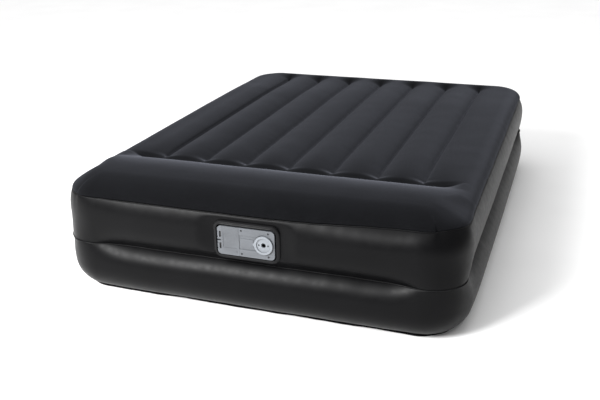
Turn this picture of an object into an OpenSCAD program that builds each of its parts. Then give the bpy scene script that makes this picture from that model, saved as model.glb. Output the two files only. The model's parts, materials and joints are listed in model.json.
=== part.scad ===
// Raised double-height air mattress with a built-in electric pump.
// Frame: +Z up, +Y from the pump (head) end to the foot end, origin on the floor under the middle.
// All sizes are in millimetres.

/* [Mattress] */
// Overall width over the side walls
bed_w = 1520; // [1370:10:1680]
// Overall length over the end walls
bed_l = 2030; // [1880:10:2130]
// Height of the weld between the top sheet and the upper side wall
seam_top_z = 376; // [370:1:385]
// Height of the weld between the two tiers
seam_mid_z = 192; // [186:1:200]
// Height of the crowns of the long channels
crown_z = 420; // [415:1:430]
// Height of the top of the raised pillow
pillow_z = 446; // [440:1:475]
// Number of long channels in the top sheet
channels = 8; // [6:1:10]
// Depth of the welded creases between channels
crease_d = 30; // [20:1:40]
// How far the widest line stands out past the top weld
bulge = 24; // [20:1:32]
// Plan radius of the corners
corner_r = 165; // [140:5:200]
// How far the upper tier stands in from the lower one on each long side
tier_step = 8; // [0:1:12]
// Drawn thickness of the coated membrane
skin = 2; // [1.5:0.5:2.5]
// Depth of the pillow from the head end to its rear crease
pillow_depth = 425; // [380:5:460]

/* [Pump face] */
// Width of the pump face plate
plate_w = 208; // [206:1:212]
// Height of the pump face plate
plate_h = 104; // [104:1:108]
// Position of the pump across the head end
pump_x = 11; // [-100:1:100]
// Height of the middle of the pump face
pump_z = 284; // [280:1:290]
// Width of the cord compartment door
door_w = 80; // [80:0.5:82]
// Radius of the selector knob
knob_r = 33; // [31:0.5:33]
// Radius of the air port through the knob
port_r = 8.5; // [7:0.5:9]

/* [Pump works] */
// Depth of the pump housing behind its flange
housing_d = 124; // [124:1:130]
// Radius of the motor can
can_r = 22; // [20:0.5:22]
// Radius of the blower impeller
imp_r = 32; // [28:1:33]
// Number of impeller blades
blades = 11; // [7:2:13]
// Travel of the outlet check valve
valve_travel = 7; // [4:1:8]

/* [Hidden] */
$fn = 48;

hw = bed_w / 2;
hl = bed_l / 2;
pitch = 174 * bed_w / 1520 * 8 / channels;
plate_inset = 6;                 // face plate behind the widest line of the head wall
base_inset = 83;                 // edge of the base sheet behind the widest line
seam_inset = bulge;
mid_inset = bulge + 23;           // tier weld lies deeper than the top weld
gap = 0.2;                       // clearance left for each weld line
foot_y = hl - 110;               // foot end of the creases
pillow_y = -hl + pillow_depth;   // rear crease of the pillow

// ---- helpers ----
// Rounded rectangle outline, centred
function rr(w, h, r, n = 6) = [for (q = [0:3], k = [0:n])
    let (sx = (q == 0 || q == 3) ? 1 : -1, sy = (q < 2) ? 1 : -1, a = 90 * q + 90 * k / n)
    [sx * (w / 2 - r) + r * cos(a), sy * (h / 2 - r) + r * sin(a)]];
// Prism whose outline lies in the X-Z plane, from depth a to depth b
module ydeep(a, b) { translate([0, b, 0]) rotate([90, 0, 0]) linear_extrude(b - a) children(); }
// Prism whose outline lies in the X-Y plane, from height a to height b
module zhigh(a, b) { translate([0, 0, a]) linear_extrude(b - a) children(); }
// Cylinder along +Y
module ycyl(x, z, r, a, b) { translate([x, a, z]) rotate([-90, 0, 0]) cylinder(r = r, h = b - a); }
// Cylinder along +X
module xcyl(y, z, r, a, b) { translate([a, y, z]) rotate([0, 90, 0]) cylinder(r = r, h = b - a); }
// Cylinder along +Z
module zcyl(x, y, r, a, b) { translate([x, y, a]) cylinder(r = r, h = b - a); }
// Puts a part drawn in pump coordinates (X right, depth +Y from the plate face, Z up) into place
module pump() { translate([pump_x, -hl + plate_inset, pump_z]) children(); }

// ---- swept membrane bands ----
corner_n = 7;
function station(q, k, inset, dx = 0) = let (a = 90 * q + 90 * k / corner_n,
    sx = (q == 0 || q == 3) ? 1 : -1, sy = (q < 2) ? 1 : -1)
    [sx * (hw - dx - corner_r) + (corner_r - inset) * cos(a), sy * (hl - corner_r) + (corner_r - inset) * sin(a)];
// prof is a closed loop of [inset, z, narrowing], outer skin first
module band(prof) {
    m = len(prof);
    pts = [for (q = [0:3], k = [0:corner_n], p = prof) let (s = station(q, k, p[0], p[2])) [s[0], s[1], p[1]]];
    n = 4 * (corner_n + 1);
    polyhedron(pts, [for (i = [0:n - 1], j = [0:m - 1]) let (i2 = (i + 1) % n, j2 = (j + 1) % m)
        [i * m + j, i * m + j2, i2 * m + j2, i2 * m + j]], convexity = 6);
}
function skinned(c) = let (n = len(c)) concat(c, [for (i = [n - 1:-1:0])
    let (a = c[max(i - 1, 0)], b = c[min(i + 1, n - 1)], d = [b[0] - a[0], b[1] - a[1]], l = norm(d), foot = (i == 0 && c[0][1] < 1))
    (i == 0 || i == n - 1) ? [c[i][0] + (foot ? 0 : skin), c[i][1] + (foot ? skin : 0), c[i][2]]
         : [c[i][0] + skin * d[1] / l, c[i][1] + skin * -d[0] / l, c[i][2]]]);
// Upper tier: a circular arc between its two welds
up_lo = seam_mid_z + gap;
up_hi = seam_top_z - gap;
// Radius of the circular bulge that stands zero inset at its widest line and passes both of its welds
function reach(R, a) = sqrt(max(0, R * R - (R - a) * (R - a)));
function bulge_r(h, a, b, lo = 60, hi = 600, n = 24) = let (m = (lo + hi) / 2)
    n == 0 ? m : (reach(m, a) + reach(m, b) < h) ? bulge_r(h, a, b, m, hi, n - 1) : bulge_r(h, a, b, lo, m, n - 1);
// Points of that bulge from its lower weld to its upper one
function tier(lo, hi, a, b, n) = let (R = bulge_r(hi - lo, a, b), c = lo + reach(R, a), t0 = -asin((c - lo) / R), t1 = asin((hi - c) / R))
    [for (i = [0:n]) let (t = t0 + (t1 - t0) * i / n) [R - R * cos(t), c + R * sin(t)]];
upper_curve = [for (p = tier(up_lo, up_hi, mid_inset, seam_inset, 10)) [p[0], p[1], tier_step]];
// Lower tier: tucked under to the base sheet
lo_hi = seam_mid_z - skin - gap;
lower_curve = [for (p = tier(0, lo_hi, base_inset - gap, mid_inset, 11)) [p[0], max(0, p[1]), tier_step * smooth((p[1] / lo_hi - 0.62) / 0.38)]];

module upper_side_wall() color([0.12, 0.12, 0.13]) difference() {
    band(skinned(upper_curve));
    pump() ydeep(-20, 40) polygon(rr(plate_w + collar_b + 0.4, plate_h + collar_b + 0.4, 26));
}
module lower_side_wall() color([0.11, 0.11, 0.12]) band(skinned(lower_curve));

module plan(inset, dx = 0) { polygon([for (q = [0:3], k = [0:corner_n]) station(q, k, inset, dx)]); }
module base_sheet() color([0.08, 0.08, 0.09]) zhigh(0, skin) plan(base_inset);

// Middle sheet between the tiers, with transfer holes between the beams
module mid_sheet() color([0.16, 0.16, 0.17]) difference() {
    zhigh(seam_mid_z - skin, seam_mid_z) plan(mid_inset - 2, tier_step);
    for (i = [0:channels - 1], y = [-700, 0, 700])
        zcyl((i - (channels - 1) / 2) * pitch, y, 18, seam_mid_z - skin - 1, seam_mid_z + 1);
}

// ---- top sheet ----
function smooth(t) = let (u = max(0, min(1, t))) u * u * (3 - 2 * u);
function rise(d, w) = let (u = max(0, min(1, d / w))) sqrt(max(0, 1 - pow(1 - u, 2)));
top_a = hw - tier_step - seam_inset;
top_b = hl - seam_inset;
top_r = corner_r - seam_inset;
function row_w(y) = let (e = abs(y) - (top_b - top_r)) e <= 0 ? top_a : top_a - top_r + sqrt(max(0, top_r * top_r - e * e));
// 0 on a crease, 1 on the crown of a channel; the two outer channels have no outer crease
function crest(x) = let (u = x / pitch, edge = (channels / 2 - 1) + (channels % 2) / 2)
    abs(u) >= edge ? min(1, sqrt((abs(u) - edge) / 0.5)) : sqrt(abs(sin(180 * (u - (channels % 2) / 2))));
function pillow_rise(x, y) = let (ex = rise(max(0, top_a - 30 - abs(x)), 150), t = (pillow_y - y) / 110,
    ey = y > pillow_y ? 0 : sqrt(smooth(t)) * rise(y + top_b, 150)) (pillow_z - crown_z + crease_d) * ex * ey;
function field(x, y) = let (f = smooth((foot_y + 45 - y) / 90) * smooth((y - pillow_y + 10) / 60))
    crown_z - crease_d * (1 - crest(x)) * f;
function cliff(x, y) = crease_d * rise(max(0, top_a - 20 - abs(x)), 120) * (1 - smooth(abs(y - pillow_y + 8) / 60));
function top_height(x, y) = let (d = min(row_w(y) - abs(x), top_b - abs(y)),
    z = y < pillow_y ? crown_z - cliff(x, y) + max(0, pillow_rise(x, y) - crease_d * ((pillow_y - y) > 8 ? smooth((pillow_y - y) / 60) : 0))
                     : min(field(x, y), crown_z - cliff(x, y)))
    seam_top_z + (z - seam_top_z) * rise(d + 1, 75);
edge_x = [0, 6, 16, 32, 54];
xs_pos = concat([for (i = [0:channels / 2 - 2]) for (t = [0, 0.12, 0.3, 0.5, 0.7, 0.88]) (i + t) * pitch],
    [for (t = [0, 0.12, 0.3, 0.52, 0.78]) (channels / 2 - 1 + t) * pitch], [for (i = [4:-1:0]) top_a - edge_x[i]]);
xs = concat([for (i = [len(xs_pos) - 1:-1:1]) -xs_pos[i]], xs_pos);
ys = concat([for (e = [0, 5, 14, 30, 55, 95, 150, 220, 290, 340, 375]) -top_b + e],
    [pillow_y - 8, pillow_y + 22, pillow_y + 55],
    [-300, 0, 300, 600], [foot_y - 50, foot_y - 20, foot_y + 15, foot_y + 45], [for (e = [45, 22, 8, 0]) top_b - e]);
module top_sheet() color([0.17, 0.17, 0.19]) {
    nx = len(xs); ny = len(ys); m = nx * ny;
    outer = [for (y = ys, x = xs) let (X = x * row_w(y) / top_a) [X, y, top_height(X, y)]];
    inner = [for (p = outer) [p[0] * (top_a - skin) / top_a, p[1] * (top_b - skin) / top_b, max(seam_top_z, p[2] - skin)]];
    // perimeter points stay on the weld plane
    rim = function (i, j) i == 0 || j == 0 || i == nx - 1 || j == ny - 1;
    pts = concat([for (j = [0:ny - 1], i = [0:nx - 1]) let (p = outer[j * nx + i]) rim(i, j) ? [p[0], p[1], seam_top_z] : p],
        [for (j = [0:ny - 1], i = [0:nx - 1]) let (p = inner[j * nx + i]) rim(i, j) ? [p[0], p[1], seam_top_z] : p]);
    top = [for (j = [0:ny - 2], i = [0:nx - 2]) let (a = j * nx + i, b = a + 1, c = a + nx + 1, d = a + nx) each [[a, c, b], [a, d, c]]];
    bot = [for (f = top) [f[0] + m, f[2] + m, f[1] + m]];
    loop = concat([for (i = [0:nx - 1]) i], [for (j = [1:ny - 1]) j * nx + nx - 1],
        [for (i = [nx - 2:-1:0]) (ny - 1) * nx + i], [for (j = [ny - 2:-1:1]) j * nx]);
    side = [for (k = [0:len(loop) - 1]) let (a = loop[k], b = loop[(k + 1) % len(loop)]) each [[a, b, b + m], [a, b + m, a + m]]];
    polyhedron(pts, concat(top, bot, side), convexity = 8);
}

// ---- internal beams: strips with a welded foot and head ----
module beam(x, y0, y1, z0, z1) difference() {
    union() {
        translate([x - 0.6, y0, z0]) cube([1.2, y1 - y0, z1 - z0]);
        translate([x - 8, y0, z0]) cube([16, y1 - y0, 1.2]);
        translate([x - 8, y0, z1 - 1.2]) cube([16, y1 - y0, 1.2]);
    }
    for (k = [1:5]) xcyl(y0 + (y1 - y0) * k / 6, (z0 + z1) / 2, 30, x - 2, x + 2);
}
module channel_beams() color([0.2, 0.2, 0.22])
    for (i = [1:channels - 1]) beam((i - channels / 2) * pitch, pillow_y + 70, foot_y - 60, seam_mid_z + 0.3, crown_z - crease_d - skin - 1);
module lower_beams() color([0.2, 0.2, 0.22])
    for (i = [1:channels - 1]) beam((i - channels / 2) * pitch, -hl + 190, hl - 190, skin + 0.3, seam_mid_z - skin - 0.3);
module pillow_beam() color([0.2, 0.2, 0.22]) difference() {
    h = crown_z - crease_d - skin - 3;
    union() {
        translate([-hw + 190, pillow_y - 1, seam_mid_z + 0.3]) cube([bed_w - 380, 1.2, h - seam_mid_z - 0.3]);
        translate([-hw + 190, pillow_y - 8, seam_mid_z + 0.3]) cube([bed_w - 380, 16, 1.2]);
        translate([-hw + 190, pillow_y - 8, h - 1.2]) cube([bed_w - 380, 16, 1.2]);
    }
    for (k = [-3:3]) ycyl(k * 160, (seam_mid_z + h) / 2, 30, pillow_y - 4, pillow_y + 4);
}

// ---- pump face (pump coordinates) ----
pw = plate_w / 2;
ph = plate_h / 2;
split_x = -pw + door_w;
knob_x = 65.5;
hinge_x = -pw + 3.6;
hinge_d = 3.0;
lug_z = 21;
collar_b = 34;                   // collar's outer size over the plate
screw_at = [[-15.5, 42.5], [-15.5, -42.5], [82, 42.5], [82, -42.5], [-84, 46.5], [-84, -46.5]];

// Flexible collar welded into the head wall, with a lip clamped behind the face plate
module pump_collar() color([0.13, 0.13, 0.14]) pump() difference() {
    union() {
        ydeep(-3, 11) polygon(rr(plate_w + collar_b, plate_h + collar_b, 25.8));
        ydeep(-4, 11) polygon(rr(plate_w + 21, plate_h + 21, 20));
        // skirt that follows the wall as it falls away above and below
        ydeep(10.5, 19) polygon(rr(plate_w + collar_b, plate_h + collar_b, 25.8));
    }
    ydeep(11, 20) polygon(rr(plate_w + collar_b - 7, plate_h + collar_b - 7, 22));
    // groove between the two weld lines
    difference() {
        ydeep(-5, -2) polygon(rr(plate_w + 26, plate_h + 26, 22));
        ydeep(-6, -1) polygon(rr(plate_w + 21, plate_h + 21, 20));
    }
    ydeep(-5, 9.5) polygon(rr(plate_w + 10, plate_h + 10, 12));
    ydeep(9.4, 12) polygon(rr(plate_w - 6, plate_h - 6, 10));
}
module pump_bezel() color([0.42, 0.44, 0.46]) pump() difference() {
    union() {
        intersection() {
            ydeep(0, 8) polygon(rr(plate_w, plate_h, 14));
            translate([split_x, 0, -100]) cube([200, 8, 200]);
        }
        // shelf under the door, stopping short of the hinge line
        intersection() {
            ydeep(4.3, 8) polygon(rr(plate_w, plate_h, 14));
            translate([-pw + 9, 0, -100]) cube([door_w, 8, 200]);
        }
        for (s = [-1, 1]) {
            translate([-pw + 0.1, 4.3, s * lug_z - 8]) cube([10, 3.7, 16]);
            translate([-pw + 0.1, 0.3, s * lug_z - 8]) cube([6.7, 7.7, 16]);
        }
    }
    // sunk band with a raised label strip, and the round knob seat
    difference() {
        ydeep(-1, 2.5) polygon([[split_x - 1, -26], [knob_x, -26], [knob_x, 26], [split_x - 1, 26]]);
        ydeep(1.2, 3) polygon([[split_x + 3, -14], [knob_x - knob_r - 6, -14], [knob_x - knob_r - 6, 14], [split_x + 3, 14]]);
    }
    ycyl(knob_x, 0, knob_r + 2.5, -1, 3);
    ycyl(knob_x, 0, 20, -1, 9);
    // opening to the cord tub
    translate([-pw + 15, 4, -40]) cube([58, 5, 80]);
    // hinge pin bores
    zcyl(hinge_x, hinge_d, 1.5, -lug_z - 9, lug_z + 9);
    for (p = screw_at) {
        ycyl(p[0], p[1], 2.1, -1, 9);
        ycyl(p[0], p[1], 3.5, p[0] < -20 ? 4 : -1, p[0] < -20 ? 6.2 : 2.4);
    }
    // slot for the door latch
    translate([split_x - 4.5, 3, -9]) cube([6, 6, 18]);
}
module bezel_gasket() color([0.1, 0.1, 0.1]) pump() difference() {
    ydeep(8, 9.5) polygon(rr(plate_w - 0.6, plate_h - 0.6, 13.7));
    ydeep(7, 10) polygon(rr(plate_w - 8, plate_h - 8, 10));
    for (p = screw_at) ycyl(p[0], p[1], 3, 7, 10);
}
module bezel_screws() color([0.05, 0.05, 0.06]) pump() for (p = screw_at) {
    d0 = p[0] < -20 ? 4.5 : 0.8;
    difference() {
        union() {
            ycyl(p[0], p[1], 3.3, d0, p[0] < -20 ? 6.2 : 2.4);
            ycyl(p[0], p[1], 1.9, d0, 22);
        }
        translate([p[0] - 2, d0 - 1, p[1] - 0.4]) cube([4, 1.9, 0.8]);
        translate([p[0] - 0.4, d0 - 1, p[1] - 2]) cube([0.8, 1.9, 4]);
    }
}
module hinge_pins() color([0.6, 0.6, 0.62]) pump()
    for (s = [-1, 1]) zcyl(hinge_x, hinge_d, 1.5, s * lug_z - 12, s * lug_z + 12);

module compartment_door() color([0.4, 0.42, 0.44]) pump() difference() {
    union() {
        intersection() {
            difference() {
                ydeep(0, 4) polygon(rr(plate_w, plate_h, 14));
                translate([split_x - 0.5, -1, -100]) cube([300, 8, 200]);
                // windows round the hinge lugs, and the cord notch
                for (s = [-1, 1]) translate([-pw - 1, -1, s * lug_z - 11]) cube([15, 8, 22]);
                translate([-pw - 1, -1, -2.6]) cube([15, 8, 5.2]);
                // shallow inset panel
                ydeep(-1, 0.9) polygon([[-pw + 21, -26], [split_x + 1, -26], [split_x + 1, 26], [-pw + 21, 26]]);
            }
            ydeep(-1, 5) polygon(rr(plate_w, plate_h, 14));
        }
        // hinge barrels
        for (s = [-1, 1]) {
            zcyl(hinge_x, hinge_d, 2.9, s * 6.4 - 3.4, s * 6.4 + 3.4);
            zcyl(hinge_x, hinge_d, 2.9, s * 35.4 - 3.1, s * 35.4 + 3.1);
        }
        // latch hook and thumb stud
        translate([split_x - 3.4, 3.5, -8]) cube([2.2, 4.1, 16]);
        ycyl(split_x - 5, 38, 2.4, -0.8, 1);
        // stiffening ribs
        for (z = [-36, 36]) translate([-pw + 17, 3.5, z - 0.8]) cube([door_w - 27, 2.6, 1.6]);
    }
    zcyl(hinge_x, hinge_d, 1.57, -45, 45);
    translate([split_x - 10, -1, -39]) cube([5, 1.8, 5]);
}

// Open-fronted tub for the mains cord
tub_x = -pw + 13;
module cord_tub() color([0.3, 0.31, 0.33]) pump() difference() {
    translate([tub_x, 8, -42]) cube([62, 54, 84]);
    translate([tub_x + 2, 7, -40]) cube([58, 53, 80]);
    xcyl(48, -26, 6, tub_x + 59, tub_x + 63);
}
module cord_gland() color([0.06, 0.06, 0.06]) pump() difference() {
    union() {
        xcyl(48, -26, 5.98, tub_x + 60, tub_x + 62);
        xcyl(48, -26, 8, tub_x + 57.5, tub_x + 60);
        xcyl(48, -26, 8, tub_x + 62, tub_x + 64);
    }
    xcyl(48, -26, 3.5, tub_x + 57, tub_x + 65);
}

// ---- pump works (pump coordinates) ----
hx = 100.5; // half width of the housing shell
hz = 47.5; // half height of the housing shell
back_d = 11 + housing_d;
valve_x = 58;
volute_x = -14;
blow_d = 92;
module pump_housing() color([0.07, 0.07, 0.08]) pump() difference() {
    union() {
        difference() {
            ydeep(11, 14) polygon(rr(plate_w - 0.6, plate_h - 0.6, 13.7));
            ydeep(10, 15) polygon(rr(2 * hx - 5, 2 * hz - 5, 5.5));
        }
        difference() {
            ydeep(14, back_d) polygon(rr(2 * hx, 2 * hz, 8));
            ydeep(13, back_d - 2.5) polygon(rr(2 * hx - 5, 2 * hz - 5, 5.5));
        }
        for (p = screw_at) ycyl(p[0], p[1], 4, 11, 24);
    }
    for (p = screw_at) ycyl(p[0], p[1], 1.9, 10, 22);
    ycyl(valve_x, 0, 15, back_d - 4, back_d + 1);
}
module selector_knob() color([0.62, 0.63, 0.65]) pump() difference() {
    union() {
        ycyl(knob_x, 0, knob_r, -6, 2.6);
        // pointer
        ydeep(-5, -0.6) polygon([[knob_x - knob_r + 3, -10], [knob_x - knob_r - 3.6, -3.4], [knob_x - knob_r - 5, 0], [knob_x - knob_r - 3.6, 3.4], [knob_x - knob_r + 3, 10]]);
    }
    ycyl(knob_x, 0, 25.5, -7, -2.5);
    ycyl(knob_x, 0, port_r, -8, 4);
    for (s = [-1, 1]) { ycyl(knob_x + s * 16.4, 0, 3, -8, 0); ycyl(knob_x + s * 16.4, 0, 1.7, -1, 4); }
}
module knob_screws() color([0.05, 0.05, 0.06]) pump() for (s = [-1, 1]) difference() {
    union() {
        ycyl(knob_x + s * 16.4, 0, 2.8, -1.6, 0);
        ycyl(knob_x + s * 16.4, 0, 1.6, 0, 9);
    }
    translate([knob_x + s * 16.4 - 1.8, -2, -0.35]) cube([3.6, 1.2, 0.7]);
}
// Hollow valve drum turned by the knob
module valve_spool() color([0.75, 0.74, 0.7]) pump() difference() {
    union() {
        ycyl(knob_x, 0, 19.92, 2.6, 8.6);
        difference() {
            ycyl(knob_x, 0, 28.4, 8.6, 48);
            ycyl(knob_x, 0, 26, 11, 49);
        }
    }
    ycyl(knob_x, 0, port_r, 2, 12);
    for (s = [-1, 1]) ycyl(knob_x + s * 16.4, 0, 1.6, 2, 9);
    for (a = [-35, 145]) translate([knob_x, 28, 0]) rotate([0, a, 0]) translate([20, -8, -9]) cube([12, 16, 18]);
    // cam groove for the switch button, round the rear rim
    for (a = [-60, 60]) translate([knob_x, 46, 0]) rotate([0, a, 0]) translate([-5, -3, 27.4]) cube([10, 6, 3]);
}
module port_filter() color([0.05, 0.05, 0.05]) pump() difference() {
    ycyl(knob_x, 0, 12, 11, 12.5);
    for (i = [-3:3], j = [-3:3]) if (i * i + j * j < 11) translate([knob_x + i * 2.6 - 0.95, 10, j * 2.6 - 0.95]) cube([1.9, 4, 1.9]);
}
module valve_sleeve() color([0.3, 0.3, 0.32]) pump() difference() {
    ycyl(knob_x, 0, 31, 8, 42);
    ycyl(knob_x, 0, 29, 7, 43);
    for (a = [0, 180]) translate([knob_x, 28, 0]) rotate([0, a, 0]) translate([20, -9, -10]) cube([14, 18, 20]);
}
module microswitch() color([0.08, 0.08, 0.09]) pump() difference() {
    union() {
        translate([knob_x - 10, 43.2, 32.5]) cube([20, 6.4, 9.5]);
        for (i = [-1:1]) translate([knob_x + i * 7 - 0.4, 44.5, 41.9]) cube([0.8, 3.6, 2.6]);
    }
    for (s = [-1, 1]) ycyl(knob_x + s * 6, 38.5, 1.2, 42, 51);
    translate([knob_x - 1.7, 44.7, 32]) cube([3.4, 3.4, 5.2]);
}
module switch_button() color([0.7, 0.15, 0.12]) pump()
    translate([knob_x - 1.3, 45.1, 29.2]) cube([2.6, 2.6, 6.4]);

module motor_can() color([0.55, 0.56, 0.58]) pump() difference() {
    union() {
        xcyl(blow_d, 0, can_r, -72, -22);
        xcyl(blow_d, 0, 8, -76, -18);
    }
    xcyl(blow_d, 0, can_r - 1.5, -70.5, -23.5);
    xcyl(blow_d, 0, 5, -77, -17);
    for (a = [0:60:300]) translate([-47, blow_d, 0]) rotate([a, 0, 0]) translate([-12, -3, can_r - 4]) cube([24, 6, 6]);
}
module motor_bearings() color([0.7, 0.6, 0.35]) pump() for (x = [-76, -22]) difference() {
    xcyl(blow_d, 0, 5, x, x + 4);
    xcyl(blow_d, 0, 2.04, x - 1, x + 5);
}
module motor_rubber_rings() color([0.05, 0.05, 0.05]) pump() for (x = [-68, -34]) difference() {
    xcyl(blow_d, 0, can_r + 3, x, x + 8);
    xcyl(blow_d, 0, can_r, x - 1, x + 9);
}
module motor_cradle() color([0.25, 0.25, 0.27]) pump() difference() {
    translate([-70, blow_d - 24, -hz + 2.5]) cube([46, 48, 32]);
    xcyl(blow_d, 0, can_r + 3, -71, -23);
    translate([-64, blow_d - 16, -hz + 2]) cube([34, 32, 18]);
}
module motor_rotor() color([0.72, 0.5, 0.3]) pump() {
    xcyl(blow_d, 0, 2, -77, 6);
    xcyl(blow_d, 0, 7, -33, -27);
    difference() {
        xcyl(blow_d, 0, 17, -62, -34);
        for (a = [10:60:310]) translate([0, blow_d, 0]) rotate([a, 0, 0]) translate([-63, -1.5, 8]) cube([30, 3, 12]);
    }
}
module impeller() color([0.85, 0.85, 0.82]) pump() difference() {
    union() {
        xcyl(blow_d, 0, imp_r, volute_x + 3.5, volute_x + 5);
        xcyl(blow_d, 0, 6, volute_x + 3.5, volute_x + 16);
        for (k = [0:blades - 1]) translate([0, blow_d, 0]) rotate([360 * k / blades, 0, 0])
            translate([volute_x + 4.5, 10, 0]) rotate([25, 0, 0]) cube([13, imp_r - 12, 1.4]);
    }
    xcyl(blow_d, 0, 2, volute_x, volute_x + 17);
}
module blower_volute() color([0.3, 0.3, 0.32]) pump() difference() {
    union() {
        xcyl(blow_d, 0, 38, volute_x, volute_x + 26);
        translate([volute_x, blow_d, 12]) cube([26, 40, 26]);
    }
    xcyl(blow_d, 0, 35.5, volute_x + 2, volute_x + 24);
    translate([volute_x + 2, blow_d, 14]) cube([22, 38, 22]);
    xcyl(blow_d, 0, 14, volute_x + 20, volute_x + 27);
    xcyl(blow_d, 0, 2.6, volute_x - 1, volute_x + 5);
    // side outlet to the duct
    translate([volute_x + 23, 116, 16]) cube([4, 13, 18]);
}
// Duct from the blower round to the outlet valve bore
module outlet_duct() color([0.33, 0.33, 0.35]) pump() difference() {
    translate([volute_x + 26, back_d - 28, -18]) cube([66, 25.5, 56]);
    translate([volute_x + 28, back_d - 26, -16]) cube([62, 25.5, 52]);
    translate([volute_x + 25, 116, 16]) cube([4, 13, 18]);
}
module outlet_valve_cage() color([0.3, 0.3, 0.32]) pump() difference() {
    union() {
        difference() {
            ycyl(valve_x, 0, 21, back_d, back_d + 18);
            ycyl(valve_x, 0, 19, back_d - 1, back_d + 19);
        }
        translate([valve_x - 20, back_d + 15, -1.5]) cube([40, 2.5, 3]);
        translate([valve_x - 1.5, back_d + 15, -20]) cube([3, 2.5, 40]);
        ycyl(valve_x, 0, 4.5, back_d + 14, back_d + 18.5);
    }
    ycyl(valve_x, 0, 2.06, back_d + 13, back_d + 19);
    for (a = [45:90:315]) translate([valve_x, 0, 0]) rotate([0, a, 0]) translate([15, back_d + 4, -6]) cube([10, 8, 12]);
}
module valve_poppet() color([0.85, 0.85, 0.82]) pump() {
    ycyl(valve_x, 0, 17.5, back_d + 1.6, back_d + 3.2);
    ycyl(valve_x, 0, 2, back_d + 3.2, back_d + 22);
}
module poppet_seal() color([0.05, 0.05, 0.05]) pump() difference() {
    ycyl(valve_x, 0, 17.5, back_d + 0.1, back_d + 1.6);
    ycyl(valve_x, 0, 10, back_d, back_d + 2);
}
// Light coil spring between the poppet and its guide
spring_n = 5;
function ring(i) = let (a = 360 * i / 14, y = 0.35 + (10.8 - 0.7) * i / (14 * spring_n)) [for (k = [0:5]) let (b = 60 * k, r = 3.6 + 0.35 * cos(b)) [r * cos(a), y + 0.35 * sin(b), r * sin(a)]];
module poppet_spring() color([0.7, 0.7, 0.72]) pump() translate([valve_x, back_d + 3.2, 0]) {
    n = 14 * spring_n;
    pts = [for (i = [0:n]) each ring(i)];
    polyhedron(pts, concat([[for (k = [0:5]) k]], [[for (k = [5:-1:0]) n * 6 + k]],
        [for (i = [0:n - 1], k = [0:5]) let (k2 = (k + 1) % 6) [i * 6 + k, (i + 1) * 6 + k, (i + 1) * 6 + k2, i * 6 + k2]]), convexity = 6);
}
top_sheet();
upper_side_wall();
mid_sheet();
lower_side_wall();
base_sheet();
channel_beams();
pillow_beam();
lower_beams();
pump_collar();
pump_bezel();
bezel_gasket();
bezel_screws();
hinge_pins();
compartment_door();
cord_tub();
cord_gland();
pump_housing();
selector_knob();
knob_screws();
valve_spool();
port_filter();
valve_sleeve();
microswitch();
switch_button();
motor_can();
motor_bearings();
motor_rubber_rings();
motor_cradle();
motor_rotor();
impeller();
blower_volute();
outlet_duct();
outlet_valve_cage();
valve_poppet();
poppet_seal();
poppet_spring();
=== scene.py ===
import json
import math

import bmesh
import bpy
import numpy as np
from mathutils import Matrix, Vector, noise


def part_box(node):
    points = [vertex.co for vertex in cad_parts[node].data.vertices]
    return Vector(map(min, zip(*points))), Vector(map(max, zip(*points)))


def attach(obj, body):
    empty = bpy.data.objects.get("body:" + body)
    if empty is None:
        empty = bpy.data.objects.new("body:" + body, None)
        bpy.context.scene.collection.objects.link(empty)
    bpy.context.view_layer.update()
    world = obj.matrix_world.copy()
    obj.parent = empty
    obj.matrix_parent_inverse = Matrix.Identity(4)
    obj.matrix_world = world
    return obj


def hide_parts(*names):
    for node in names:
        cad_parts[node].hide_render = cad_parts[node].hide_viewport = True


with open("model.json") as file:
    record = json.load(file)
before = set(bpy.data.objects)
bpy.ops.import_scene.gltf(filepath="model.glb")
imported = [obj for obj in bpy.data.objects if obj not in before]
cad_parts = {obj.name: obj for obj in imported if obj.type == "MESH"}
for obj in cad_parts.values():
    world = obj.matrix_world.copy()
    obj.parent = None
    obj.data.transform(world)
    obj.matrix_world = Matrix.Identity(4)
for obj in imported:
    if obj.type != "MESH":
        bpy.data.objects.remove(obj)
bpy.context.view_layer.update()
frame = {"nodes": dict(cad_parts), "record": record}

# ------------------------------------------------------------------ sizes, metres
HW, HL = 0.760, 1.015            # half width and half length over the lower tier
STEP = 0.008                     # upper tier stands in by this much on each long side
RC = 0.165                       # plan radius of the corners, at the widest line
Z_TOP, Z_MID = 0.376, 0.192      # welds
TOP_IN, MID_IN, BASE_IN = 0.024, 0.047, 0.083    # welds behind the widest line: top, middle, base
CROWN, CREASE = 0.421, 0.031
PITCH = 0.174
PILLOW_Y = -0.590                # rear crease of the pillow
FOOT_Y = 0.912                   # foot end of the creases
PX, PY, PZ = 0.011, -1.009, 0.284   # middle of the pump face plate
PW, PH = 0.104, 0.052            # half sizes of the plate


def smooth(t):
    t = np.clip(t, 0.0, 1.0)
    return t * t * (3 - 2 * t)


def value_noise(p, seed):
    """Smooth noise at an array of points, the same each run."""
    q = p + seed * 17.31
    return np.array([noise.noise(Vector(v)) for v in q])


# ------------------------------------------------------------------ helpers
def mesh_object(name, verts, faces, smooth_shade=True):
    me = bpy.data.meshes.new(name)
    me.from_pydata([tuple(v) for v in verts], [], [tuple(f) for f in faces])
    me.update()
    if smooth_shade:
        me.polygons.foreach_set("use_smooth", [True] * len(me.polygons))
    ob = bpy.data.objects.new(name, me)
    bpy.context.collection.objects.link(ob)
    return ob


def put(ob, mat, body="mattress"):
    ob.data.materials.clear()
    ob.data.materials.append(mat)
    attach(ob, body)
    return ob


# ------------------------------------------------------------------ materials
def new_mat(name):
    m = bpy.data.materials.new(name)
    m.use_nodes = True
    nt = m.node_tree
    return m, nt, nt.nodes["Principled BSDF"]


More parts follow.
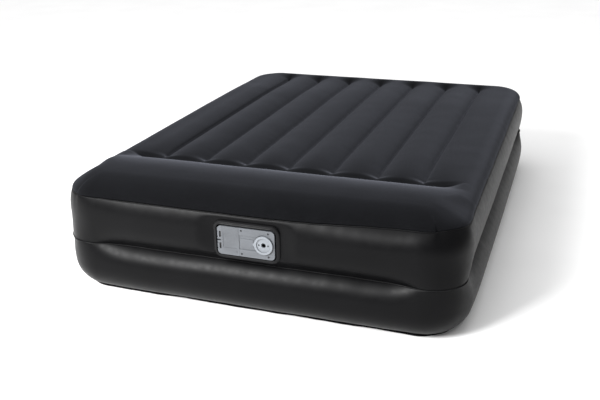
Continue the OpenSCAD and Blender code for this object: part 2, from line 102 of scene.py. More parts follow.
def coords(nt, scale=1.0):
    tc = nt.nodes.new("ShaderNodeTexCoord")
    mp = nt.nodes.new("ShaderNodeMapping")
    mp.inputs["Scale"].default_value = (scale, scale, scale)
    nt.links.new(tc.outputs["Object"], mp.inputs["Vector"])
    return mp.outputs["Vector"]


def noise_node(nt, vec, scale, detail=2.0, rough=0.5, distortion=0.0):
    n = nt.nodes.new("ShaderNodeTexNoise")
    n.inputs["Scale"].default_value = scale
    n.inputs["Detail"].default_value = detail
    n.inputs["Roughness"].default_value = rough
    n.inputs["Distortion"].default_value = distortion
    nt.links.new(vec, n.inputs["Vector"])
    return n.outputs["Fac"]


def voronoi_node(nt, vec, scale, feature="F1"):
    n = nt.nodes.new("ShaderNodeTexVoronoi")
    n.feature = feature
    n.inputs["Scale"].default_value = scale
    nt.links.new(vec, n.inputs["Vector"])
    return n.outputs["Distance"]


def ramp(nt, fac, stops):
    r = nt.nodes.new("ShaderNodeValToRGB")
    r.color_ramp.elements[0].position = stops[0][0]
    r.color_ramp.elements[0].color = (*stops[0][1], 1)
    r.color_ramp.elements[1].position = stops[-1][0]
    r.color_ramp.elements[1].color = (*stops[-1][1], 1)
    for p, c in stops[1:-1]:
        e = r.color_ramp.elements.new(p)
        e.color = (*c, 1)
    nt.links.new(fac, r.inputs["Fac"])
    return r.outputs["Color"]


def mix_color(nt, fac, a, b, mode="MIX"):
    m = nt.nodes.new("ShaderNodeMix")
    m.data_type = "RGBA"
    m.blend_type = mode
    if isinstance(fac, (int, float)):
        m.inputs["Factor"].default_value = fac
    else:
        nt.links.new(fac, m.inputs["Factor"])
    for k, v in (("A", a), ("B", b)):
        s = [i for i in m.inputs if i.name == k and i.type == "RGBA"][0]
        if isinstance(v, tuple):
            s.default_value = (*v, 1)
        else:
            nt.links.new(v, s)
    return [o for o in m.outputs if o.type == "RGBA"][0]


def map_range(nt, fac, lo, hi, a, b):
    m = nt.nodes.new("ShaderNodeMapRange")
    m.inputs["From Min"].default_value = lo
    m.inputs["From Max"].default_value = hi
    m.inputs["To Min"].default_value = a
    m.inputs["To Max"].default_value = b
    nt.links.new(fac, m.inputs["Value"])
    return m.outputs["Result"]


def bump(nt, bsdf, layers):
    prev = None
    for height, strength, dist in layers:
        b = nt.nodes.new("ShaderNodeBump")
        b.inputs["Strength"].default_value = strength
        b.inputs["Distance"].default_value = dist
        nt.links.new(height, b.inputs["Height"])
        if prev is not None:
            nt.links.new(prev, b.inputs["Normal"])
        prev = b.outputs["Normal"]
    nt.links.new(prev, bsdf.inputs["Normal"])


def flock_mat():
    m, nt, b = new_mat("flock_pile")
    v = coords(nt)
    pile = noise_node(nt, v, 900, 3, 0.7)          # single tufts
    speck = noise_node(nt, v, 260, 4, 0.65)        # clumps of pile
    brush = noise_node(nt, v, 9, 4, 0.6, 0.6)      # brushed light and dark areas
    c1 = ramp(nt, speck, [(0.30, (0.0008, 0.0009, 0.0012)), (0.52, (0.0015, 0.0016, 0.0021)), (0.75, (0.0031, 0.0033, 0.0040))])
    c2 = ramp(nt, brush, [(0.35, (0.80, 0.80, 0.82)), (0.65, (1.22, 1.22, 1.20))])
    nt.links.new(mix_color(nt, 1.0, c1, c2, "MULTIPLY"), b.inputs["Base Color"])
    nt.links.new(map_range(nt, pile, 0.3, 0.7, 0.86, 1.0), b.inputs["Roughness"])
    b.inputs["Specular IOR Level"].default_value = 0.08
    b.inputs["Sheen Weight"].default_value = 0.11
    b.inputs["Sheen Roughness"].default_value = 0.42
    b.inputs["Sheen Tint"].default_value = (0.80, 0.84, 1.0, 1)
    bump(nt, b, [(pile, 0.35, 0.0006), (speck, 0.25, 0.0010), (brush, 0.10, 0.004)])
    return m


def pvc_mat(name, base, rough=(0.35, 0.42), grain=0.08):
    m, nt, b = new_mat(name)
    v = coords(nt)
    fine = voronoi_node(nt, v, 520)                 # embossed grain
    soft = noise_node(nt, v, 60, 3, 0.5)
    cloud = noise_node(nt, v, 5, 3, 0.55, 0.4)
    lo = tuple(c * 0.82 for c in base)
    hi = tuple(c * 1.22 for c in base)
    nt.links.new(ramp(nt, cloud, [(0.3, lo), (0.7, hi)]), b.inputs["Base Color"])
    nt.links.new(map_range(nt, soft, 0.3, 0.7, *rough), b.inputs["Roughness"])
    b.inputs["Specular IOR Level"].default_value = 0.080
    bump(nt, b, [(fine, grain, 0.0003), (soft, 0.02, 0.0010), (cloud, 0.03, 0.005)])
    return m


def abs_mat(name, base, rough=(0.36, 0.50), grain=0.25, scale=1400, edge_highlight=0.0):
    m, nt, b = new_mat(name)
    v = coords(nt)
    spark = noise_node(nt, v, scale, 2, 0.6)        # spark-eroded mould texture
    cloud = noise_node(nt, v, 30, 3, 0.55)
    lo = tuple(c * 0.93 for c in base)
    hi = tuple(min(1, c * 1.08) for c in base)
    col = ramp(nt, cloud, [(0.3, lo), (0.7, hi)])
    if edge_highlight:
        # painted highlight: convex edges, found by pointiness, are lightened in the colour to stand in for the light
        # caught on rounded edges
        geo = nt.nodes.new("ShaderNodeNewGeometry")
        edge = map_range(nt, geo.outputs["Pointiness"], 0.50, 0.56, 0.0, edge_highlight)
        col = mix_color(nt, edge, col, tuple(min(1, c * 1.7) for c in base))
    nt.links.new(col, b.inputs["Base Color"])
    nt.links.new(map_range(nt, spark, 0.3, 0.7, *rough), b.inputs["Roughness"])
    bump(nt, b, [(spark, grain, 0.0002), (cloud, 0.03, 0.002)])
    return m


def metal_mat(name, base, rough=(0.22, 0.38)):
    m, nt, b = new_mat(name)
    v = coords(nt)
    n = noise_node(nt, v, 300, 3, 0.6, 0.5)
    lo = tuple(c * 0.85 for c in base)
    nt.links.new(ramp(nt, n, [(0.3, lo), (0.7, base)]), b.inputs["Base Color"])
    nt.links.new(map_range(nt, n, 0.3, 0.7, *rough), b.inputs["Roughness"])
    b.inputs["Metallic"].default_value = 1.0
    bump(nt, b, [(n, 0.12, 0.0003)])
    return m


def rubber_mat(name, base):
    m, nt, b = new_mat(name)
    v = coords(nt)
    n = noise_node(nt, v, 500, 3, 0.6)
    nt.links.new(ramp(nt, n, [(0.3, tuple(c * 0.7 for c in base)), (0.7, tuple(c * 1.3 for c in base))]), b.inputs["Base Color"])
    nt.links.new(map_range(nt, n, 0.3, 0.7, 0.6, 0.85), b.inputs["Roughness"])
    bump(nt, b, [(n, 0.2, 0.0003)])
    return m


FLOCK = flock_mat()
PVC = pvc_mat("wall_vinyl", (0.0020, 0.0020, 0.0023))
PVC_BASE = pvc_mat("base_vinyl", (0.0060, 0.0060, 0.0066), (0.5, 0.66), 0.22)
PVC_WELD = pvc_mat("weld_vinyl", (0.0085, 0.0085, 0.0090), (0.34, 0.46), 0.05)
FILM = pvc_mat("beam_vinyl", (0.033, 0.033, 0.036))
# the last argument of the face and knob mouldings sets how strong their painted edge highlight is
FACE = abs_mat("face_moulding", (0.066, 0.071, 0.079), (0.34, 0.48), 0.30, 1400, 0.30)
KNOB = abs_mat("knob_moulding", (0.150, 0.162, 0.178), (0.30, 0.42), 0.15, 1400, 0.15)
INNER = abs_mat("inner_moulding", (0.050, 0.053, 0.058))
HOUSING = abs_mat("housing_moulding", (0.012, 0.012, 0.013))
NYLON = abs_mat("nylon_moulding", (0.60, 0.59, 0.54), (0.4, 0.55))
RUBBER = rubber_mat("black_rubber_mat", (0.010, 0.010, 0.010))
BLACK_STEEL = metal_mat("black_screw", (0.020, 0.020, 0.022), (0.35, 0.5))
BLACK_STEEL.node_tree.nodes["Principled BSDF"].inputs["Metallic"].default_value = 0.6
STEEL = metal_mat("zinc_steel", (0.55, 0.55, 0.57))
COPPER = metal_mat("copper_iron_mat", (0.50, 0.28, 0.15))
BRONZE = metal_mat("bronze_mat", (0.50, 0.38, 0.18))
SWITCH_B = abs_mat("switch_black_mat", (0.012, 0.012, 0.013), (0.25, 0.35))
SWITCH_R = abs_mat("switch_red_mat", (0.45, 0.02, 0.015), (0.25, 0.35))

by_slot = {"flock": FLOCK, "wall_pvc": PVC, "base_pvc": PVC_BASE, "beam_film": FILM, "face_abs": FACE, "knob_abs": KNOB,
           "inner_abs": INNER, "housing_abs": HOUSING, "nylon": NYLON, "black_rubber": RUBBER, "black_steel": BLACK_STEEL,
           "bright_steel": STEEL, "copper_iron": COPPER, "bronze": BRONZE, "switch_black": SWITCH_B, "switch_red": SWITCH_R}
slot_of = {s["node"]: s["material_slot"] for s in frame["record"]["subparts"]}
for name, ob in frame["nodes"].items():
    mat = HOUSING if name in ("valve_spool", "port_filter") else by_slot[slot_of[name]]
    if not ob.data.materials:
        ob.data.materials.append(mat)
    for i in range(len(ob.data.materials)):
        ob.data.materials[i] = mat

# ------------------------------------------------------------------ plan outline of the walls
N_LONG, N_SHORT, N_CORNER = 210, 240, 26


def outline(w, l, rc):
    """Stations round a rounded rectangle, anticlockwise from the +X side: point and outward normal."""
    base, nrm = [], []
    cx, cy = w - rc, l - rc

    def straight(p0, p1, n, count):
        for i in range(count):
            t = i / count
            base.append((p0[0] + (p1[0] - p0[0]) * t, p0[1] + (p1[1] - p0[1]) * t))
            nrm.append(n)

    def arc(c, a0):
        for i in range(N_CORNER):
            a = math.radians(a0 + 90 * i / N_CORNER)
            base.append((c[0] + rc * math.cos(a), c[1] + rc * math.sin(a)))
            nrm.append((math.cos(a), math.sin(a)))

    straight((w, -cy), (w, cy), (1, 0), N_SHORT)
    arc((cx, cy), 0)
    straight((cx, l), (-cx, l), (0, 1), N_LONG)
    arc((-cx, cy), 90)
    straight((-w, cy), (-w, -cy), (-1, 0), N_SHORT)
    arc((-cx, -cy), 180)
    straight((-cx, -l), (cx, -l), (0, -1), N_LONG)
    arc((cx, -cy), 270)
    return np.array(base), np.array(nrm)


BASE, NRM = outline(HW, HL, RC)                                    # widest line
NST = len(BASE)


def near_corner(b, reach):
    """1 at the middle of a corner of the widest line, falling to 0 along the straights."""
    q = np.abs(b) - np.array([HW - RC * (1 - 0.7071), HL - RC * (1 - 0.7071)])
    r = np.hypot(q[:, 0], q[:, 1])
    return np.exp(-(np.maximum(0, r - 0.03) / reach) ** 2)


def sides(b):
    """How much of a point belongs to the head or foot, and to a long side."""
    fx = np.clip(1 - (b[:, 0] / 0.64) ** 2, 0, 1) * (np.abs(b[:, 1]) > HL - 0.01)
    fy = np.clip(1 - (b[:, 1] / 0.90) ** 2, 0, 1) * (np.abs(b[:, 0]) > HW - 0.01)
    return fx, fy


def top_line(b):
    """The top weld at points of the widest line: how far behind it, and how high."""
    k = near_corner(b, 0.13)
    fx, fy = sides(b)
    b3 = np.column_stack([b, np.zeros(len(b))])
    right = smooth((b[:, 0] - 0.10) / 0.50) * smooth((-0.80 - b[:, 1]) / 0.18)     # the head end sits unevenly
    inset = TOP_IN + 0.008 * k * (b[:, 1] > 0) - 0.004 * (b[:, 1] < -1) - 0.008 * k + 0.021 * right + 0.0014 * value_noise(b3 * 4.0, 41) + 0.0007 * value_noise(b3 * 22.0, 42)
    z = Z_TOP - 0.003 * np.maximum(fx, fy) + 0.011 * right + 0.0014 * value_noise(b3 * 6.0, 1) + 0.0008 * value_noise(b3 * 24.0, 2)
    return inset, z


def mid_line(b):
    """The weld between the tiers."""
    k = near_corner(b, 0.12)
    b3 = np.column_stack([b, np.zeros(len(b))])
    inset = MID_IN - 0.046 * k + 0.0026 * value_noise(b3 * 4.0, 43) + 0.0010 * value_noise(b3 * 18.0, 44)
    z = Z_MID + 0.006 * k + 0.0020 * value_noise(b3 * 4.5, 3) + 0.0008 * value_noise(b3 * 22.0, 4)
    return inset, z


def base_line(b):
    """The base weld."""
    k = near_corner(b, 0.12)
    b3 = np.column_stack([b, np.zeros(len(b))])
    return BASE_IN + 0.006 * k + 0.0036 * value_noise(b3 * 6.0, 45) + 0.0016 * value_noise(b3 * 30.0, 6)


SHIFT = np.clip(BASE[:, 0] / (HW - RC), -1, 1)     # narrowing acts on the long sides, and fades along the head and foot
PLAN3 = np.concatenate([BASE, np.zeros((NST, 1))], axis=1)
KC = near_corner(BASE, 0.13)
top_in, top_z = top_line(BASE)
mid_in, mid_z = mid_line(BASE)
base_in = base_line(BASE)
FX, FY = sides(BASE)


def ring(inset, dx):
    """Plan points at an inset, narrowed by dx."""
    p = BASE - NRM * np.asarray(inset)[:, None]
    p[:, 0] -= SHIFT * dx
    return p


def plate_distance(x, z):
    """Distance outside the face plate's outline, in its own plane (negative inside)."""
    qx = np.abs(x - PX) - (PW - 0.014)
    qz = np.abs(z - PZ) - (PH - 0.014)
    return np.hypot(np.maximum(qx, 0), np.maximum(qz, 0)) + np.minimum(np.maximum(qx, qz), 0) - 0.014


def pump_dimple(v):
    """Draws the head wall in round the pump, where its weight and collar hold it."""
    out = v.copy()
    m = v[:, 1] < -0.90
    d = plate_distance(v[:, 0], v[:, 2])
    w = 1 - smooth((d - 0.012) / 0.075)
    w = np.where(v[:, 2] < Z_MID + 0.001, 0, w) * m
    w = w * smooth((v[:, 2] - Z_MID) / 0.02) * smooth((Z_TOP - v[:, 2]) / 0.03)
    target = PY + 0.0105
    out[:, 1] = v[:, 1] + np.where(v[:, 1] < target, (target - v[:, 1]) * w, 0)
    return out


def wall(name, rows, mat, cut_pump=False):
    """rows: list of (inset array, z array, narrowing), bottom to top."""
    verts = []
    for inset, z, dx in rows:
        verts.append(np.column_stack([ring(inset, dx), z]))
    v = np.concatenate(verts)
    if cut_pump:
        v = pump_dimple(v)
    faces = []
    for j in range(len(rows) - 1):
        for i in range(NST):
            i2 = (i + 1) % NST
            f = (j * NST + i, j * NST + i2, (j + 1) * NST + i2, (j + 1) * NST + i)
            if cut_pump:
                c = v[list(f)].mean(axis=0)
                if c[1] < -0.9 and plate_distance(c[0], c[2]) < 0.004:
                    continue
            faces.append(f)
    ob = mesh_object(name, v, faces)
    sol = ob.modifiers.new("skin", "SOLIDIFY")
    sol.thickness = 0.0016
    sol.offset = -1
    return put(ob, mat)


# ------------------------------------------------------------------ upper side wall
# fine tension wrinkles that run off the welds, strongest at the corners
wrk = value_noise(PLAN3 * 30.0, 11) + 0.6 * value_noise(PLAN3 * 62.0, 12)
fan = value_noise(PLAN3 * 15.0, 13)
wr_amp = 0.0002 + 0.0012 * KC


def arc_through(lo, hi, i_lo, i_hi):
    """Radius and centre height of the circular bulge whose widest line has inset 0 and which passes both welds."""
    a, b = 0.05, 0.6
    for _ in range(60):
        r = (a + b) / 2
        span = math.sqrt(max(0, r * r - (r - i_lo) ** 2)) + math.sqrt(max(0, r * r - (r - i_hi) ** 2))
        if span < hi - lo:
            a = r
        else:
            b = r
    return r, lo + math.sqrt(max(0, r * r - (r - i_lo) ** 2))


def tier(n, lo, hi, i_lo, i_hi):
    """Rows of the plain bulge: height, inset, as fractions that can be stretched onto the real welds."""
    r, zc = arc_through(lo, hi, i_lo, i_hi)
    a0 = -math.asin(min(1, (zc - lo) / r))
    a1 = math.asin(min(1, (hi - zc) / r))
    out = []
    for i in range(n + 1):
        t = i / n
        a = a0 + (a1 - a0) * t
        out.append((t, zc + r * math.sin(a), r * (1 - math.cos(a)), a))
    return out


rows = []
N_UP = 50
for k, (t, z, ins, a) in enumerate(tier(N_UP, Z_MID, Z_TOP, MID_IN, TOP_IN)):
    part = mid_in / MID_IN if a < 0 else top_in / TOP_IN
    # blend the two stretches across the widest line, where the inset is nothing anyway
    inset = ins * part
    zz = z + (mid_z - Z_MID) * smooth((Z_TOP - z) / (Z_TOP - Z_MID)) + (top_z - Z_TOP) * smooth((z - Z_MID) / (Z_TOP - Z_MID))
    near_lo, near_hi = math.exp(-t / 0.09), math.exp(-(1 - t) / 0.10)
    inset = inset + 0.006 * KC * (BASE[:, 1] > 0)
    inset = inset + (wrk * wr_amp * (near_lo + 0.8 * near_hi) + fan * 0.0016 * KC * (near_lo + near_hi)) * min(1, k, N_UP - k)
    inset = inset + 0.0020 * value_noise(np.column_stack([PLAN3[:, 0] * 2.2, PLAN3[:, 1] * 2.2, np.full(NST, z * 6)]), 14) * math.sin(math.pi * t)
    inset = inset - 0.003 * np.maximum(FX, FY) * math.sin(math.pi * t) ** 2 + 0.003 * math.sin(math.pi * t) ** 2
    rows.append((inset, zz, STEP))
upper = wall("upper_wall", rows, PVC, cut_pump=True)
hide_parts("upper_side_wall")

# ------------------------------------------------------------------ lower side wall
rows = []
N_LO = 60
for k, (t, z, ins, a) in enumerate(tier(N_LO, 0.0012, Z_MID - 0.001, BASE_IN, MID_IN)):
    part = base_in / BASE_IN if a < 0 else mid_in / MID_IN
    inset = ins * part
    zz = z + (mid_z - Z_MID) * float(smooth((z - 0.06) / (Z_MID - 0.06)))
    near_lo, near_hi = math.exp(-t / 0.16), math.exp(-(1 - t) / 0.09)
    inset = inset + (wrk * wr_amp * (2.2 * near_lo + near_hi) + fan * 0.0022 * KC * (near_lo + near_hi)) * min(1, k, N_LO - k)
    inset = inset + 0.0022 * value_noise(np.column_stack([PLAN3[:, 0] * 2.0, PLAN3[:, 1] * 2.0, np.full(NST, z * 6)]), 15) * math.sin(math.pi * t)
    inset = inset + 0.0050 * KC * math.sin(math.pi * t)
    inset = inset + (0.0035 - 0.0100 * FY * (np.abs(BASE[:, 0]) > 0.7)) * math.sin(math.pi * t) ** 2 * smooth(0.5 + 0 * FY)
    # small puckers off the base weld
    lift = np.clip(value_noise(PLAN3 * 14.0, 21), 0, 1) * 0.0035 * math.exp(-abs(t - 0.04) / 0.06)
    rows.append((inset, np.maximum(zz + lift * min(1, k), 0.0008), STEP * float(smooth((t - 0.62) / 0.38))))
lower = wall("lower_wall", rows, PVC)
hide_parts("lower_side_wall")

# ------------------------------------------------------------------ weld flanges: thin lips that stand out of the two seams
def lip(name, line, z, reach, thick, mat, tilt=0.0):
    """A closed thin lip round the plan: section a flat rounded blade."""
    sec = [(0.004, thick * 0.5), (-reach * 0.6, thick * 0.5), (-reach, thick * 0.15), (-reach, -thick * 0.15), (-reach * 0.6, -thick * 0.5), (0.004, -thick * 0.5)]
    verts, faces = [], []
    m = len(sec)
    for i in range(NST):
        for a, b in sec:
            p = line[i] - NRM[i] * a
            verts.append((p[0], p[1], z[i] + b + tilt * (-a)))
    for i in range(NST):
        i2 = (i + 1) % NST
        for j in range(m):
            j2 = (j + 1) % m
            faces.append((i * m + j, i2 * m + j, i2 * m + j2, i * m + j2))
    ob = mesh_object(name, verts, faces)
    put(ob, mat)
    return ob


lip("mid_weld", ring(mid_in, STEP), mid_z, 0.0035, 0.0022, PVC_WELD)
lip("top_weld", ring(top_in, STEP), top_z, 0.0006, 0.0016, PVC_WELD)
lip("base_weld", ring(base_in - 0.010 - 0.005 * value_noise(PLAN3 * 9.0, 23), 0.0), np.full(NST, 0.0026) + 0.0016 * np.clip(value_noise(PLAN3 * 12.0, 22), 0, 1), 0.014, 0.0018, PVC_BASE)

# ------------------------------------------------------------------ top sheet
TA, TB = HW - STEP - TOP_IN, HL - TOP_IN
TR = RC - TOP_IN
NX, NY = 330, 430


def rise(d, w):
    u = np.clip(d / w, 0, 1)
    return np.sqrt(np.clip(1 - (1 - u) ** 2, 0, 1))


def edge_distance(x, y):
    """Distance inside the top sheet's rounded outline."""
    qx = np.abs(x) - (TA - TR)
    qy = np.abs(y) - (TB - TR)
    return TR - (np.hypot(np.maximum(qx, 0), np.maximum(qy, 0)) + np.minimum(np.maximum(qx, qy), 0))


def crest(x):
    """0 on a crease, 1 on a crown: circular arcs between the beams."""
    u = x / PITCH
    inner = np.abs(np.mod(u, 1.0) - 0.5) * 2           # 1 on a crease, 0 half way
    r = 1.32
    h = (np.sqrt(np.maximum(r * r - inner ** 2, 0)) - math.sqrt(r * r - 1)) / (r - math.sqrt(r * r - 1))
    outer = np.clip((np.abs(u) - 3) / 0.50, 0, 1)
    o = rise(outer, 1.0) ** 0.9
    return np.where(np.abs(u) > 3, o, h)


# section of the pillow, from its rear crease towards the head: distance, height
PIL = np.array([(0.0, 0.396), (0.008, 0.4000), (0.020, 0.4055), (0.040, 0.4130), (0.065, 0.4215), (0.095, 0.4300), (0.130, 0.4372), (0.170, 0.4420),
                (0.205, 0.4435), (0.240, 0.4425), (0.280, 0.4395), (0.330, 0.4340), (0.400, 0.4250)])


def pillow_z(t):
    k = np.interp(t, PIL[:, 0], np.arange(len(PIL)))
    i = np.minimum(k.astype(int), len(PIL) - 2)
    u = k - i
    p0, p1, p2, p3 = (PIL[np.clip(i + o, 0, len(PIL) - 1), 1] for o in (-1, 0, 1, 2))
    return 0.5 * (2 * p1 + (p2 - p0) * u + (2 * p0 - 5 * p1 + 4 * p2 - p3) * u * u + (3 * p1 - p0 - 3 * p2 + p3) * u ** 3)


def height(x, y):
    d = edge_distance(x, y)
    c = crest(x)
    side = np.maximum(0, TA - np.abs(x))
    # creases fade out short of the foot edge and behind the pillow
    t = y - PILLOW_Y
    hold = smooth((side - 0.050) / 0.085)
    sink = 0.019 * np.exp(-np.maximum(t, 0) / 0.085) * smooth((side - 0.03) / 0.15)     # the pillow's weld holds the sheet down
    f = smooth((FOOT_Y + 0.020 - y) / 0.070) * smooth((t + 0.002) / 0.055)
    z = CROWN - sink - (CREASE - 0.8 * sink) * (1 - c) * f
    z = z + 0.003 * np.clip(1 - ((y - 0.17) / 0.78) ** 2, 0, 1) * c - 0.005 * smooth((y - 0.45) / 0.45) - 0.003 * smooth((-x - 0.58) / 0.08)
    z = z - np.where(t >= 0, 0.006 * (1 - smooth(t / 0.03)) * hold, 0)
    # pillow
    zp = pillow_z(np.maximum(0, -t))
    zp = CROWN + (zp - CROWN) * np.where(zp < CROWN, hold, smooth(side / np.where(x < 0, 0.09, 0.15)))
    z = np.where(t < 0, zp, z)
    w = 0.068 + 0.050 * smooth((PILLOW_Y - y - 0.12) / 0.10)
    return z, rise(d + 0.0004, w), d


def onto_widest(x, y):
    """Nearest point of the widest line, and its outward normal."""
    qx, qy = np.abs(x) - (TA - TR), np.abs(y) - (TB - TR)
    sx, sy = np.where(x < 0, -1.0, 1.0), np.where(y < 0, -1.0, 1.0)
    l = np.hypot(np.maximum(qx, 0), np.maximum(qy, 0))
    inside = l < 1e-9
    nx = np.where(inside, (qx > qy) * 1.0, np.maximum(qx, 0) / np.maximum(l, 1e-9))
    ny = np.where(inside, (qx <= qy) * 1.0, np.maximum(qy, 0) / np.maximum(l, 1e-9))
    d = TR - (l + np.minimum(np.maximum(qx, qy), 0))
    bx = np.abs(x) + nx * (d + TOP_IN)
    by = np.abs(y) + ny * (d + TOP_IN)
    bx = bx + STEP * np.clip(bx / (HW - STEP - RC), 0, 1)
    return np.column_stack([sx * bx, sy * by]), np.column_stack([sx * nx, sy * ny])


# rows follow the outline: x is squeezed where the corners round off
yn = np.concatenate([-TB + (1 - np.cos(np.linspace(0, math.pi / 2, 46))) * 0.10, np.linspace(-TB + 0.10, TB - 0.10, NY - 90)[1:-1], TB - 0.10 + np.sin(np.linspace(0, math.pi / 2, 46)) * 0.10])
NY = len(yn)
un = np.concatenate([-1 + (1 - np.cos(np.linspace(0, math.pi / 2, 40))) * 0.12, np.linspace(-0.88, 0.88, NX - 80)[1:-1], 0.88 + np.sin(np.linspace(0, math.pi / 2, 40)) * 0.12])
NX = len(un)
over = np.maximum(0, np.abs(yn) - (TB - TR))
hwid = np.where(over > 0, TA - TR + np.sqrt(np.maximum(TR * TR - over ** 2, 0)), TA)
X = un[None, :] * hwid[:, None]
Y = np.repeat(yn[:, None], NX, axis=1)
xf, yf = X.ravel(), Y.ravel()
zfield, up_, df = height(xf, yf)
onb, onn = onto_widest(xf, yf)
t_in, t_z = top_line(onb)
keep = (1 - smooth(df / 0.16))
Zf = t_z + (zfield - t_z) * up_
pts3 = np.column_stack([xf, yf, np.zeros_like(xf)])
# puckers beside the creases, and the slow unevenness of a real sheet
cr = crest(xf)
puck = value_noise(np.column_stack([xf * 8, yf * 34, np.zeros_like(xf)]), 31)
slow = value_noise(pts3 * 3.2, 32)
mid = value_noise(pts3 * 11.0, 33)
Zf = Zf + np.clip(df / 0.05, 0, 1) * (0.0005 * puck * (1 - cr) * (np.abs(xf) < 0.56) * smooth((yf - PILLOW_Y) / 0.05) + 0.0018 * slow + 0.0006 * mid)
shift = (TOP_IN - t_in) * keep
top_v = np.column_stack([xf + onn[:, 0] * shift, yf + onn[:, 1] * shift, Zf])
faces = []
for j in range(NY - 1):
    for i in range(NX - 1):
        a = j * NX + i
        faces.append((a, a + 1, a + NX + 1, a + NX))
top = mesh_object("flocked_top", top_v, faces)
# drop zero-area faces at the two rounded ends
bm = bmesh.new()
bm.from_mesh(top.data)
bmesh.ops.remove_doubles(bm, verts=bm.verts, dist=0.0002)
bmesh.ops.dissolve_degenerate(bm, dist=0.00005, edges=bm.edges)
bm.to_mesh(top.data)
bm.free()
sol = top.modifiers.new("skin", "SOLIDIFY")
sol.thickness = 0.0018
sol.offset = -1
put(top, FLOCK)
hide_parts("top_sheet")

# ------------------------------------------------------------------ collar round the pump
def ring_outline(grow, n=14):
    w, h, r = PW + grow, PH + grow, 0.014 + grow
    out = []
    for q, (sx, sz) in enumerate(((1, 1), (-1, 1), (-1, -1), (1, -1))):
        for k in range(n + 1):
            a = math.radians(90 * q + 90 * k / n)
            out.append((PX + sx * (w - r) + r * math.cos(a), PZ + sz * (h - r) + r * math.sin(a)))
    # fill the straights
    full = []
    for i, p in enumerate(out):
        q = out[(i + 1) % len(out)]
        full.append(p)
        d = math.dist(p, q)
        k = int(d / 0.008)
        for s in range(1, k + 1):
            t = s / (k + 1)
            full.append((p[0] + (q[0] - p[0]) * t, p[1] + (q[1] - p[1]) * t))
    return full


sec = [(5.0, 10.4), (5.0, 3.4), (5.5, -1.6), (6.6, -3.4), (8.2, -4.0), (9.6, -3.4), (10.4, -2.2), (11.2, -2.0), (12.0, -2.6), (13.4, -3.0), (15.0, -2.2), (16.2, 0.4), (16.8, 4.4), (17.0, 8.0), (17.2, 14.0), (17.2, 20.0), (12.0, 20.0), (12.0, 10.9)]
low = [(4.4, 10.4), (4.4, 4.8), (4.9, 2.8), (6.0, 2.0), (7.4, 2.0), (8.6, 2.4), (9.6, 2.8), (10.6, 3.2), (11.6, 3.7), (13.0, 4.4), (14.6, 5.4), (16.0, 6.6), (16.8, 8.0), (17.0, 10.0), (17.2, 15.0), (17.2, 20.0), (12.0, 20.0), (12.0, 10.9)]
verts, faces = [], []
loops = []
for (g0, d0), (g1, d1) in zip(sec, low):
    o = ring_outline(0.0)
    # grow from the plate's outline along its own normal, so every loop has the same count
    loop = []
    for (x, z) in o:
        qx = max(abs(x - PX) - (PW - 0.014), 0) * (1 if x > PX else -1)
        qz = max(abs(z - PZ) - (PH - 0.014), 0) * (1 if z > PZ else -1)
        l = math.hypot(qx, qz) or 1
        k = float(smooth((z - PZ - 0.030) / 0.020)) * (1 - 0.5 * float(smooth((abs(x - PX) - 0.085) / 0.02)))
        g, dep = g1 + (g0 - g1) * k, d1 + (d0 - d1) * k
        loop.append((x + qx / l * g / 1000, PY + dep / 1000, z + qz / l * g / 1000))
    loops.append(loop)
n = len(loops[0])
for loop in loops:
    verts += loop
m = len(loops)
for j in range(m):
    j2 = (j + 1) % m
    for i in range(n):
        i2 = (i + 1) % n
        faces.append((j * n + i, j * n + i2, j2 * n + i2, j2 * n + i))
collar = mesh_object("pump_collar_ring", verts, faces)
bm = bmesh.new()
bm.from_mesh(collar.data)
bmesh.ops.recalc_face_normals(bm, faces=bm.faces)
bm.to_mesh(collar.data)
bm.free()
put(collar, PVC_WELD)
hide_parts("pump_collar")

# ------------------------------------------------------------------ base panel and middle panel
def panel(name, edge, z0, wave, mat, holes=()):
    """A thin sheet inside a closed outline, in rings that shrink to the middle, with slow waves."""
    fr = [1.0, 0.985, 0.96, 0.92, 0.86, 0.79, 0.71, 0.62, 0.53, 0.44, 0.35, 0.26, 0.17, 0.08]
    v = []
    for f in fr:
        p = edge * f
        q = np.column_stack([p, np.zeros(NST)])
        w = wave * (value_noise(q * 5.0, 51) + 0.4 * value_noise(q * 19.0, 52)) * min(1.0, (1 - f) * 25)
        v.append(np.column_stack([p, z0 + np.maximum(w, 0)]))
    v = np.concatenate(v)
    faces = [(a * NST + i, a * NST + (i + 1) % NST, (a + 1) * NST + (i + 1) % NST, (a + 1) * NST + i) for a in range(len(fr) - 1) for i in range(NST)]
    v = np.vstack([v, [0, 0, z0]])
    last = (len(fr) - 1) * NST
    faces += [(last + i, last + (i + 1) % NST, len(v) - 1) for i in range(NST)]
    if holes:
        c = np.array([v[list(f)].mean(axis=0) for f in faces])
        keep = np.ones(len(faces), bool)
        for hx, hy, r in holes:
            keep &= np.hypot(c[:, 0] - hx, c[:, 1] - hy) > r
        faces = [f for f, k in zip(faces, keep) if k]
    ob = mesh_object(name, v, faces)
    sol = ob.modifiers.new("skin", "SOLIDIFY")
    sol.thickness = 0.0008
    sol.offset = 1
    put(ob, mat)
    return ob


edge = ring(base_in - 0.002, 0.0)
base_panel = panel("base_panel", edge, 0.0002, 0.0014, PVC_BASE)
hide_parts("base_sheet")
edge = ring(mid_in + 0.001, STEP)
mid_panel = panel("middle_panel", edge, Z_MID - 0.0012, 0.0012, PVC_BASE)
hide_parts("mid_sheet")
